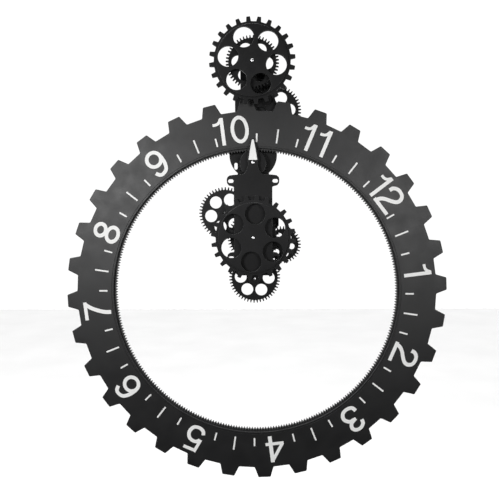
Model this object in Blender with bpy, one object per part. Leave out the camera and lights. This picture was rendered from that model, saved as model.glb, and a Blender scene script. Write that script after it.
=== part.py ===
"""Big-wheel skeleton wall clock.

A 550 mm hour ring hangs by its internal teeth on a driving pinion and turns once in
twelve hours past a fixed pointer.  A train of fine wheels between the tower housing and
the front plate carries the same motion to the show gears above and below the ring's rim.

Outlines are drawn in millimetres in the clock's face plane: x to the right, z up, with the
drive axle at (0, 0).  Heights are distances in front of the wall.  Angles are in degrees,
anticlockwise as seen from the front.
"""
import math

import bmesh
import bpy

MM = 0.001

# Hour ring
RING_TOOTH_COUNT = 32
RING_TIP_R = 275.0
RING_ROOT_R = 260.1
RING_INNER_R = 207.0
RING_ROOT_WIDTH = 28.0
RING_TIP_WIDTH = 17.8
RING_TOOTH_PHASE = 13.74
RING_OFFSET_X = 2.8
RING_GEAR_TEETH = 326
RING_GEAR_OUTER_R = 217.0
RING_MODULE = 1.25
RING_PINION_TEETH = 28
RING_PINION_FLANGE_R = 19.2
RING_GEAR_ROOT = 1.5
RING_GEAR_TIP = 0.8
DRIVE_HUB_R = 6.0

# Fine wheels: tooth depths in modules, tooth widths as shares of the tooth spacing
MODULE = 1.5
WHEEL_ROOT = 1.6
WHEEL_TIP = 1.0
WHEEL_TOOTH_SHARES = (0.52, 0.27)
POINTED_ROOT = 1.9
POINTED_TIP = 0.75
RING_PINION_ROOT = 1.2
RING_PINION_TIP = 0.8
RING_PINION_TOOTH_SHARES = (0.42, 0.17)
WHEEL_TEETH = 48
WHEEL_HOLE_R = 8.7
WHEEL_HOLE_CIRCLE_R = 20.6
DRIVE_TEETH = 28
UPPER_IDLER_TEETH = 17
TOP_IDLER_TEETH = 15
TOP_PINION_TEETH = 20
LOWER_IDLER_TEETH = (20, 22)
LOWER_PINION_TEETH = 31
LOWER_RIGHT_PINION_TEETH = 24
LOWER_LEFT_PINION_TEETH = 23
RIGHT_WHEEL_TEETH = 34
RIGHT_HOLE_R = 4.2
RIGHT_HOLE_CIRCLE_R = 13.7

# Coarse show gears
SHOW_TOOTH_COUNT = 24
SHOW_TIP_R = 60.0
SHOW_ROOT_R = 53.4
SHOW_ROOT_WIDTH = 6.8
SHOW_TIP_WIDTH = 5.0
SHOW_WEB_R = 50.0
SHOW_HOLE_R = 14.3
SHOW_HOLE_CIRCLE_R = 34.0

# Where the axles stand
DRIVE_AXLE = (0.0, 0.0)
TOP_AXLE = (0.0, 139.2)
LOWER_AXLE = (0.0, -106.7)
UPPER_RIGHT_AXLE = (32.3, 74.8)
LEFT_AXLE_BEARING = 139.05
RIGHT_AXLE_BEARING = -14.8
BOTTOM_AXLE_BEARING = -88.65
LOWER_IDLER_BEARING = -96.0

# How the wheels and gears are turned at rest
TOP_GEAR_PHASE = 5.3
TOP_GEAR_HOLE_PHASE = 50.0
TOP_WHEEL_PHASE = 4.9
TOP_WHEEL_HOLE_PHASE = 56.7
UPPER_RIGHT_HOLE_PHASE = 6.0
LOWER_GEAR_PHASE = 9.7
LOWER_GEAR_HOLE_PHASE = 24.7
LEFT_HOLE_PHASE = 10.4
RIGHT_HOLE_PHASE = 49.7
BOTTOM_HOLE_PHASE = -2.1

# Heights in front of the wall
COVER_BACK = 0.0
COVER_FRONT = 2.0
HOUSING_BACK = 2.3
WALL_INSIDE = 46.0
WALL_FRONT = 49.0
REAR_PLANE = (49.5, 53.5)
DRIVE_PLANE = (49.5, 54.6)
RIGHT_PLANE = (54.5, 58.5)
MIDDLE_PLANE = (59.5, 63.5)
LEFT_PLANE = (64.5, 68.5)
RING_GEAR_PLANE = (55.2, 61.2)
RING_FACE_PLANE = (61.5, 66.0)
PLATE_BACK = 70.0
PLATE_FRONT = 73.0
TOP_WHEEL_PLANE = (72.5, 76.5)
TOP_GEAR_PLANE = (81.5, 85.5)
TOP_WEB_FRONT = 87.0
LOWER_GEAR_PLANE = (77.5, 82.0)
LOWER_WEB_FRONT = 84.0
FLANGE_FRONT = 64.3
PIN_BACK = 40.0
DRIVE_SHAFT_BACK = 31.0
SHAFT_OVERHANG = 0.8
PILOT_FRONT = 62.0

# Axles and their bearings
SHAFT_R = 2.3
SHAFT_BORE_R = 2.4
SHAFT_BACK = 36.0
COLLAR_FRONT = 37.6
COLLAR_R = 4.2
BOSS_BACK = 38.0
BOSS_R = 5.2
HUB_R = 8.0
PIN_HEAD = 1.2
AXLE_GAP = 0.3

# Tower
WALL_HALF = 20.5
SHELL_THICKNESS = 2.2
FACE_HALF = 26.0
PLATE_HALF = 27.5
NECK_R = 18.0
SHOULDER_LOW = 93.0
SHOULDER_HIGH = 105.0
TOWER_BOTTOM = -148.0
PLATE_BOTTOM = -161.0
CORNER = 5.0
BOTTOM_ARM_R = 8.0
RIGHT_ARM_R = 5.5
LEFT_ARM_R = 6.0
UPPER_RIGHT_ARM_R = 6.0
TONGUE_R = 8.5
UPPER_GUSSET = ((30.0, 82.0), (30.0, 108.0), (25.0, 126.0), (NECK_R, 134.0))
LOWER_GUSSET = ((32.0, -96.5), (37.0, -90.0), (37.0, -79.0), (32.0, -70.0))
DISC_R = 34.7
DISC_CENTRE = (0.0, 12.9)
DISC_LOW_BEARING = -49.5
SLOT_CENTRE = (-25.2, -3.2)
SLOT_HALF = (2.4, 5.0)
EAR_SLOT_X = 31.6
EAR_SLOT_Z = -26.0
LOWER_EAR_DROP = 110.0
EAR_SLOT_HALF = (3.9, 2.6)
PILLAR_R = 3.2
PILLAR_SPOTS = ((23.3, -24.0), (-23.3, -22.0), (23.3, -58.0))
COVER_POST_R = 3.6
COVER_POST_SPOTS = ((-14.0, 80.0), (14.0, 80.0), (-14.5, -138.0), (14.5, -138.0))
KEYHOLE_HEAD = (0.0, 112.0)
KEYHOLE_HEAD_R = 5.0
KEYHOLE_SLOT_HALF = 2.2
KEYHOLE_TOP = 122.0

# Clock movement
CASE_HALF_X = 17.6
CASE_HALF_Z = 33.0
CASE_BACK = 6.0
CASE_FRONT = 36.0
BATTERY_X = 9.0
BATTERY_R = 7.2
BATTERY_HALF = 25.0
BATTERY_HEIGHT = 13.6
KNOB_SPOT = (-10.2, 6.0)
KNOB_R = 6.0
KNOB_RIBS = 12

# Fasteners
SCREW_R = 1.3
SCREW_HOLE_R = 1.45
SCREW_HEAD_R = 2.4
SCREW_CLEARANCE_R = 1.7
SCREW_POCKET_R = 2.7
SCREW_HEAD_HEIGHT = 1.1


# Plane geometry

def polar(radius, angle, centre=(0.0, 0.0)):
    """Point at a radius and an angle from a centre."""
    turn = math.radians(angle)
    return (centre[0] + radius * math.cos(turn), centre[1] + radius * math.sin(turn))


def arc(centre, radius, start, end, steps):
    """Points along an arc, both ends included."""
    return [polar(radius, start + (end - start) * i / steps, centre) for i in range(steps + 1)]


def circle(centre, radius, steps=16, start=0.0):
    """Points of a closed circle."""
    return [polar(radius, start + 360.0 * i / steps, centre) for i in range(steps)]


def rectangle(centre, half_x, half_z):
    """Corners of an upright rectangle."""
    x, z = centre
    return [(x - half_x, z - half_z), (x + half_x, z - half_z),
            (x + half_x, z + half_z), (x - half_x, z + half_z)]


def slot(centre, half_x, half_z, steps=5):
    """A slot with round ends, along its longer side."""
    x, z = centre
    if half_x > half_z:
        reach = half_x - half_z
        return (arc((x + reach, z), half_z, -90, 90, steps)
                + arc((x - reach, z), half_z, 90, 270, steps))
    reach = half_z - half_x
    return (arc((x, z + reach), half_x, 0, 180, steps)
            + arc((x, z - reach), half_x, 180, 360, steps))


def meeting_point(first, first_reach, second, second_reach, side):
    """The point at given distances from two others, on the chosen side of their line."""
    dx = second[0] - first[0]
    dz = second[1] - first[1]
    span = math.hypot(dx, dz)
    along = (first_reach ** 2 - second_reach ** 2 + span ** 2) / (2 * span)
    across = side * math.sqrt(first_reach ** 2 - along ** 2)
    return (first[0] + (dx * along - dz * across) / span,
            first[1] + (dz * along + dx * across) / span)


# Gear geometry

def pitch_radius(teeth, module=MODULE):
    return teeth * module / 2


def reach(teeth_a, teeth_b):
    """Distance between the axles of two meshing wheels."""
    return pitch_radius(teeth_a) + pitch_radius(teeth_b)


def toothed(count, root_r, tip_r, root_width, tip_width, phase, centre=(0.0, 0.0)):
    """Outline with trapezoid teeth; tip_r below root_r points them inwards."""
    step = 360.0 / count
    root_half = math.degrees(root_width / 2 / root_r)
    tip_half = math.degrees(tip_width / 2 / tip_r)
    points = []
    for i in range(count):
        middle = phase + i * step
        points.append(polar(root_r, middle - root_half, centre))
        points.append(polar(tip_r, middle - tip_half, centre))
        points.append(polar(tip_r, middle + tip_half, centre))
        points.append(polar(root_r, middle + root_half, centre))
    return points


def wheel_outline(centre, teeth, phase):
    """Long finger teeth with wide gaps, as on the visible wheels."""
    pitch_arc = math.pi * MODULE
    radius = pitch_radius(teeth)
    root_share, tip_share = WHEEL_TOOTH_SHARES
    return toothed(teeth, radius - WHEEL_ROOT * MODULE, radius + WHEEL_TIP * MODULE,
                   root_share * pitch_arc, tip_share * pitch_arc, phase, centre)


def ring_pinion_outline(phase):
    """Shorter teeth of the pinion that runs in the ring gear."""
    pitch_arc = math.pi * RING_MODULE
    radius = pitch_radius(RING_PINION_TEETH, RING_MODULE)
    root_share, tip_share = RING_PINION_TOOTH_SHARES
    return toothed(RING_PINION_TEETH, radius - RING_PINION_ROOT * RING_MODULE,
                   radius + RING_PINION_TIP * RING_MODULE, root_share * pitch_arc,
                   tip_share * pitch_arc, phase, DRIVE_AXLE)


def pinion_outline(centre, teeth, phase):
    """Pointed teeth whose flanks meet in the root, as on the hidden wheels and pinions."""
    radius = pitch_radius(teeth)
    step = 360.0 / teeth
    points = []
    for i in range(teeth):
        middle = phase + i * step
        points.append(polar(radius - POINTED_ROOT * MODULE, middle - step / 2, centre))
        points.append(polar(radius + POINTED_TIP * MODULE, middle, centre))
    return points


def direction(start, end):
    return math.degrees(math.atan2(end[1] - start[1], end[0] - start[0]))


def outside_mesh(centre_a, teeth_a, phase_a, centre_b, teeth_b):
    """Phase that puts a tooth of wheel b in a gap of wheel a."""
    line = direction(centre_a, centre_b)
    share = ((line - phase_a) * teeth_a / 360.0) % 1.0
    return line + 180.0 + (share - 0.5) * 360.0 / teeth_b


def inside_mesh(centre_a, teeth_a, phase_a, centre_b, teeth_b):
    """The same for a pinion b inside an internal gear a."""
    line = direction(centre_a, centre_b)
    share = ((line - phase_a) * teeth_a / 360.0) % 1.0
    return line + (0.5 - share) * 360.0 / teeth_b


# Solids

def stacked(name, material, centre, floors, layers):
    """Closed solid built up in layers between floors, heights in front of the wall.

    A layer is a list of loops: outlines and holes, nested by the even-odd rule.  A loop that
    goes on into the next layer is the same list object in both.  The object's origin is at
    the centre given, on the wall.
    """
    mesh = bmesh.new()
    rings = {}

    def ring(loop, level):
        key = (id(loop), level)
        if key not in rings:
            rings[key] = [mesh.verts.new(((x - centre[0]) * MM, -floors[level] * MM,
                                          (z - centre[1]) * MM)) for x, z in loop]
        return rings[key]

    for level in range(len(layers)):
        for loop in layers[level]:
            low = ring(loop, level)
            high = ring(loop, level + 1)
            for i in range(len(loop)):
                j = (i + 1) % len(loop)
                mesh.faces.new((low[i], low[j], high[j], high[i]))
    for level in range(len(floors)):
        below = layers[level - 1] if level > 0 else []
        above = layers[level] if level < len(layers) else []
        ended = [loop for loop in below if not any(loop is other for other in above)]
        started = [loop for loop in above if not any(loop is other for other in below)]
        edges = []
        for loop in ended + started:
            verts = ring(loop, level)
            for i in range(len(loop)):
                edges.append(mesh.edges.get((verts[i], verts[(i + 1) % len(loop)])))
        bmesh.ops.triangle_fill(mesh, edges=edges, use_beauty=True, normal=(0, -1, 0))
    bmesh.ops.recalc_face_normals(mesh, faces=mesh.faces)
    return finish_mesh(name, mesh, material, centre)


def finish_mesh(name, mesh, material, centre):
    """Turn a bmesh into an object whose origin is at the centre given, on the wall."""
    data = bpy.data.meshes.new(name)
    mesh.to_mesh(data)
    mesh.free()
    data.materials.append(material)
    data.shade_smooth()
    data.set_sharp_from_angle(angle=math.radians(30))
    thing = bpy.data.objects.new(name, data)
    thing.location = (centre[0] * MM, 0.0, centre[1] * MM)
    bpy.context.scene.collection.objects.link(thing)
    return thing


def turned_x(name, material, centre, height, profile, steps=16):
    """Solid of revolution about an upright axis: profile is (radius, z) from the bottom up."""
    mesh = bmesh.new()
    rows = []
    for radius, z in profile:
        row = []
        for x, y in circle((0.0, 0.0), radius, steps):
            row.append(mesh.verts.new((x * MM, (y - height) * MM, (z - centre[1]) * MM)))
        rows.append(row)
    for low, high in zip(rows, rows[1:]):
        for i in range(steps):
            j = (i + 1) % steps
            mesh.faces.new((low[i], low[j], high[j], high[i]))
    mesh.faces.new(reversed(rows[0]))
    mesh.faces.new(rows[-1])
    bmesh.ops.recalc_face_normals(mesh, faces=mesh.faces)
    return finish_mesh(name, mesh, material, centre)


def make_material(name, colour, roughness, metallic=0.0):
    material = bpy.data.materials.new(name)
    material.use_nodes = True
    shader = material.node_tree.nodes["Principled BSDF"]
    shader.inputs["Base Color"].default_value = (*colour, 1.0)
    shader.inputs["Roughness"].default_value = roughness
    shader.inputs["Metallic"].default_value = metallic
    material.diffuse_color = (*colour, 1.0)
    return material


# Pieces

def shaft(name, material, centre, front, back=SHAFT_BACK):
    """Axle that turns with its wheel, with a collar behind its bearing."""
    collar = circle(centre, COLLAR_R, 12)
    rod = circle(centre, SHAFT_R, 12)
    stacked(name, material, centre, (back, COLLAR_FRONT, front), ([collar], [rod]))


def fixed_pin(name, material, centre, front):
    """Pin that stands still in the housing and carries a running wheel under its head."""
    rod = circle(centre, SHAFT_R, 12)
    head = circle(centre, COLLAR_R, 12)
    stacked(name, material, centre, (PIN_BACK, front, front + PIN_HEAD), ([rod], [head]))


def holed_wheel(name, material, centre, teeth, phase, plane, hole_r, hole_circle_r, hole_phase,
                hub_heights=(), hole_steps=12):
    """Fine wheel with a ring of six round holes and hubs up to given heights."""
    outline = wheel_outline(centre, teeth, phase)
    bore = circle(centre, SHAFT_BORE_R, 12)
    holes = [circle(polar(hole_circle_r, hole_phase + 60.0 * i, centre), hole_r, hole_steps)
             for i in range(6)]
    hub = circle(centre, HUB_R, 14)
    floors = list(plane)
    layers = [[outline, bore] + holes]
    for height in hub_heights:
        if height > plane[1]:
            floors.append(height)
            layers.append([hub, bore])
        else:
            floors.insert(0, height)
            layers.insert(0, [hub, bore])
    return stacked(name, material, centre, floors, layers)


def plain_pinion(name, material, centre, outline, plane, hub_front=None):
    """Pinion with a bore and, if asked for, a hub in front."""
    bore = circle(centre, SHAFT_BORE_R, 12)
    floors = list(plane)
    layers = [[outline, bore]]
    if hub_front:
        floors.append(hub_front)
        layers.append([circle(centre, HUB_R, 14), bore])
    return stacked(name, material, centre, floors, layers)


def show_gear(name, material, centre, phase, hole_phase, plane, web_front, hub_back):
    """Coarse gear with stub teeth, a raised web and six large holes."""
    outline = toothed(SHOW_TOOTH_COUNT, SHOW_ROOT_R, SHOW_TIP_R, SHOW_ROOT_WIDTH, SHOW_TIP_WIDTH,
                      phase, centre)
    web = circle(centre, SHOW_WEB_R, 36)
    hub = circle(centre, HUB_R, 14)
    bore = circle(centre, SHAFT_BORE_R, 12)
    holes = [circle(polar(SHOW_HOLE_CIRCLE_R, hole_phase + 60.0 * i, centre), SHOW_HOLE_R, 12)
             for i in range(6)]
    stacked(name, material, centre, (hub_back, plane[0], plane[1], web_front),
            ([hub, bore], [outline, bore] + holes, [web, bore] + holes))


def hour_ring(ring_centre, gear_phase, plastic):
    """Face plate with its coarse teeth, and the internal gear behind it."""
    face = toothed(RING_TOOTH_COUNT, RING_ROOT_R, RING_TIP_R, RING_ROOT_WIDTH, RING_TIP_WIDTH,
                   RING_TOOTH_PHASE, ring_centre)
    inner = circle(ring_centre, RING_INNER_R, 80)
    stacked("ring_face", plastic, ring_centre, RING_FACE_PLANE, [[face, inner]])
    pitch = pitch_radius(RING_GEAR_TEETH, RING_MODULE)
    step = 360.0 / RING_GEAR_TEETH
    teeth = []
    for i in range(RING_GEAR_TEETH):
        middle = gear_phase + i * step
        teeth.append(polar(pitch + RING_GEAR_ROOT * RING_MODULE, middle - step / 2, ring_centre))
        teeth.append(polar(pitch - RING_GEAR_TIP * RING_MODULE, middle, ring_centre))
    outer = circle(ring_centre, RING_GEAR_OUTER_R, 64)
    stacked("ring_gear", plastic, ring_centre, RING_GEAR_PLANE, [[outer, teeth]])


def drive_group(pinion_phase, wheel_phase, plastic, steel):
    """The driven axle with the pinion that the ring hangs on and the first wheel."""
    shaft("drive_shaft", steel, DRIVE_AXLE, PLATE_FRONT + SHAFT_OVERHANG, back=DRIVE_SHAFT_BACK)
    bore = circle(DRIVE_AXLE, SHAFT_BORE_R, 12)
    teeth = ring_pinion_outline(pinion_phase)
    flange = circle(DRIVE_AXLE, RING_PINION_FLANGE_R, 28)
    hub = circle(DRIVE_AXLE, DRIVE_HUB_R, 12)
    stacked("drive_pinion", plastic, DRIVE_AXLE,
            (DRIVE_PLANE[1] + AXLE_GAP, RING_FACE_PLANE[0], FLANGE_FRONT, PLATE_BACK - AXLE_GAP),
            ([teeth, bore], [flange, bore], [hub, bore]))
    plain_pinion("drive_wheel", plastic, DRIVE_AXLE,
                 pinion_outline(DRIVE_AXLE, DRIVE_TEETH, wheel_phase), DRIVE_PLANE)


def face_outline(left, right, upper_right, bottom):
    """Front wall of the housing: tower, round bulge, and an arm to each outlying axle."""
    bulge_top = math.degrees(math.acos(FACE_HALF / DISC_R))
    side = FACE_HALF
    points = arc(bottom, BOTTOM_ARM_R, 180, 360, 6)
    points += [(bottom[0] + BOTTOM_ARM_R, TOWER_BOTTOM), (side - CORNER, TOWER_BOTTOM)]
    points += [(side, TOWER_BOTTOM + CORNER), (side, right[1] - RIGHT_ARM_R)]
    points += arc(right, RIGHT_ARM_R, -90, 90, 6)
    points += [(side, right[1] + RIGHT_ARM_R), (side, LOWER_GUSSET[0][1] - CORNER)]
    points += LOWER_GUSSET
    points += [(side, LOWER_GUSSET[-1][1] + CORNER), (side, EAR_SLOT_Z)]
    points += arc(DISC_CENTRE, DISC_R, DISC_LOW_BEARING, bulge_top, 9)
    points += [(side, upper_right[1] - UPPER_RIGHT_ARM_R)]
    points += arc(upper_right, UPPER_RIGHT_ARM_R, -90, 90, 6)
    points += UPPER_GUSSET
    points += arc(TOP_AXLE, NECK_R, 0, 180, 12)
    points += [(-NECK_R, SHOULDER_HIGH), (-side, SHOULDER_LOW)]
    points += arc(DISC_CENTRE, DISC_R, 180 - bulge_top, 180 - DISC_LOW_BEARING, 9)
    points += [(-side, EAR_SLOT_Z), (-side, left[1] + LEFT_ARM_R)]
    points += arc(left, LEFT_ARM_R, 90, 270, 6)
    points += [(-side, left[1] - LEFT_ARM_R), (-side, TOWER_BOTTOM + CORNER)]
    points += [(CORNER - side, TOWER_BOTTOM), (bottom[0] - BOTTOM_ARM_R, TOWER_BOTTOM)]
    return points


def shell_outline(inset):
    """Rear box of the tower, which the back cover closes."""
    half = WALL_HALF - inset
    neck = NECK_R - 2.0 - inset
    low = TOWER_BOTTOM + 2.0 + inset
    wide = SHOULDER_LOW - CORNER - inset / 2
    narrow = SHOULDER_HIGH - CORNER - inset / 2
    points = [(-half, low), (half, low), (half, wide), (neck, narrow)]
    points += arc(TOP_AXLE, neck, 0, 180, 10)
    points += [(-neck, narrow), (-half, wide)]
    return points


def tower_housing(face, bearings, plastic):
    """Open-backed box with bosses for every axle and posts for the cover screws."""
    wall = shell_outline(0.0)
    cavity = shell_outline(SHELL_THICKNESS)
    posts = [circle(spot, COVER_POST_R, 8) for spot in COVER_POST_SPOTS]
    post_holes = [circle(spot, SCREW_HOLE_R, 8) for spot in COVER_POST_SPOTS]
    bosses = [circle(spot, BOSS_R, 10) for spot in bearings]
    bores = [circle(spot, SHAFT_BORE_R, 12) for spot in bearings]
    screw_holes = [circle(spot, SCREW_CLEARANCE_R, 8) for spot in PILLAR_SPOTS]
    window = slot(SLOT_CENTRE, *SLOT_HALF)
    stacked("tower_housing", plastic, DRIVE_AXLE,
            (HOUSING_BACK, 16.0, BOSS_BACK, WALL_INSIDE, WALL_FRONT),
            ([wall, cavity] + posts + post_holes,
             [wall, cavity] + posts,
             [wall, cavity] + posts + bosses + bores,
             [face, window] + screw_holes + bores))


def back_cover(plastic):
    """Flat lid on the wall side with the hanging keyhole and the battery window."""
    outline = shell_outline(0.0)
    window = rectangle((BATTERY_X, 0.0), BATTERY_R, BATTERY_HALF + 5.5)
    knob_window = circle(KNOB_SPOT, KNOB_R + 0.8, 16)
    half_angle = math.degrees(math.asin(KEYHOLE_SLOT_HALF / KEYHOLE_HEAD_R))
    keyhole = arc(KEYHOLE_HEAD, KEYHOLE_HEAD_R, 90 + half_angle, 450 - half_angle, 16)
    keyhole += arc((KEYHOLE_HEAD[0], KEYHOLE_TOP), KEYHOLE_SLOT_HALF, 0, 180, 8)
    pockets = [circle(spot, SCREW_POCKET_R, 12) for spot in COVER_POST_SPOTS]
    holes = [circle(spot, SCREW_CLEARANCE_R, 8) for spot in COVER_POST_SPOTS]
    stacked("back_cover", plastic, DRIVE_AXLE, (COVER_BACK, 1.4, COVER_FRONT),
            ([outline, window, knob_window, keyhole] + pockets,
             [outline, window, knob_window, keyhole] + holes))


def ear_outline(drop):
    """Right-hand ear of the front plate, from its top edge round to its bottom edge."""
    line = ((PLATE_HALF, -17.2), (33.5, -18.0), (36.6, -20.5), (37.5, -24.0), (37.1, -29.0),
            (34.5, -32.4), (30.0, -33.4), (PLATE_HALF, -34.4))
    return [(x, z - drop) for x, z in line]


def plate_outline(bottom):
    """Front plate: pointer neck on top, four ears, and a tongue down to the bottom axle."""
    right_side = [(2.0, 34.1), (2.7, 33.0), (6.5, 18.0), (8.3, 4.2), (8.1, 3.2), (7.2, 2.2),
                  (7.2, -4.0), (9.2, -10.5), (11.2, -13.8), (14.2, -16.4)]
    right_side += ear_outline(0.0) + ear_outline(LOWER_EAR_DROP)
    right_side += [(PLATE_HALF, PLATE_BOTTOM + CORNER), (PLATE_HALF - CORNER, PLATE_BOTTOM)]
    left_side = [(-x, z) for x, z in reversed(right_side)]
    tongue = [(bottom[0] + TONGUE_R, PLATE_BOTTOM)]
    tongue += arc(bottom, TONGUE_R, 0, -180, 10)
    tongue += [(bottom[0] - TONGUE_R, PLATE_BOTTOM)]
    return right_side + tongue + left_side


def front_plate(bottom, plastic):
    """Plate with the fixed pointer; pillars on its back stand on the housing."""
    outline = plate_outline(bottom)
    pillars = [circle(spot, PILLAR_R, 12) for spot in PILLAR_SPOTS]
    pilots = [circle(spot, SCREW_HOLE_R, 8) for spot in PILLAR_SPOTS]
    bores = [circle(spot, SHAFT_BORE_R, 12) for spot in (DRIVE_AXLE, LOWER_AXLE, bottom)]
    ears = [slot((side * EAR_SLOT_X, EAR_SLOT_Z - drop), *EAR_SLOT_HALF)
            for side in (-1, 1) for drop in (0.0, LOWER_EAR_DROP)]
    stacked("front_plate", plastic, DRIVE_AXLE,
            (WALL_FRONT + AXLE_GAP, PILOT_FRONT, PLATE_BACK, PLATE_FRONT),
            (pillars + pilots, pillars, [outline] + bores + ears))


def screws(steel):
    """Cover screws from the wall side, plate screws from inside the housing."""
    for i, spot in enumerate(COVER_POST_SPOTS):
        head = circle(spot, SCREW_HEAD_R, 12)
        stem = circle(spot, SCREW_R, 8)
        stacked(f"cover_screw_{i + 1}", steel, spot,
                (0.2, 0.2 + SCREW_HEAD_HEIGHT, 14.0), ([head], [stem]))
    for i, spot in enumerate(PILLAR_SPOTS):
        head = circle(spot, SCREW_HEAD_R, 12)
        stem = circle(spot, SCREW_R, 8)
        head_front = WALL_INSIDE - AXLE_GAP
        stacked(f"plate_screw_{i + 1}", steel, spot,
                (head_front - 1.8, head_front, 60.0), ([head], [stem]))


def movement(plastic, battery_skin, steel):
    """Clock movement with its battery, contacts and setting knob."""
    case = rectangle((0.0, 0.0), CASE_HALF_X, CASE_HALF_Z)
    bay = rectangle((BATTERY_X, 0.0), BATTERY_R + 0.6, BATTERY_HALF + 5.5)
    shaft_hole = circle(DRIVE_AXLE, COLLAR_R + 0.3, 12)
    knob_hole = circle(KNOB_SPOT, 1.8, 12)
    stacked("movement_case", plastic, DRIVE_AXLE,
            (CASE_BACK, 16.0, BATTERY_HEIGHT + BATTERY_R + 0.6, 29.0, CASE_FRONT),
            ([case, bay, knob_hole], [case, bay], [case], [case, shaft_hole]))
    low = -BATTERY_HALF
    top = BATTERY_HALF - 1.2
    turned_x("battery", battery_skin, (BATTERY_X, 0.0), BATTERY_HEIGHT,
             ((BATTERY_R, low), (BATTERY_R, top), (2.7, top), (2.7, BATTERY_HALF)), 14)
    spring_low = -BATTERY_HALF - 5.2
    turned_x("battery_spring", steel, (BATTERY_X, -BATTERY_HALF - 2.8), BATTERY_HEIGHT,
             ((5.5, spring_low), (5.5, spring_low + 1.0), (4.6, spring_low + 1.2),
              (4.2, spring_low + 3.0), (3.0, -BATTERY_HALF - 0.3)), 12)
    contact = rectangle((BATTERY_X, BATTERY_HALF + 2.8), BATTERY_R - 1.2, 0.5)
    stacked("battery_contact", steel, (BATTERY_X, BATTERY_HALF + 2.8),
            (BATTERY_HEIGHT - 5.5, BATTERY_HEIGHT + 5.5), [[contact]])
    grip = toothed(KNOB_RIBS, KNOB_R - 0.6, KNOB_R, 2.2, 1.2, 0.0, KNOB_SPOT)
    stem = circle(KNOB_SPOT, 1.6, 12)
    stacked("setting_knob", plastic, KNOB_SPOT, (0.6, 5.6, 14.0), ([grip], [stem]))


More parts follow.
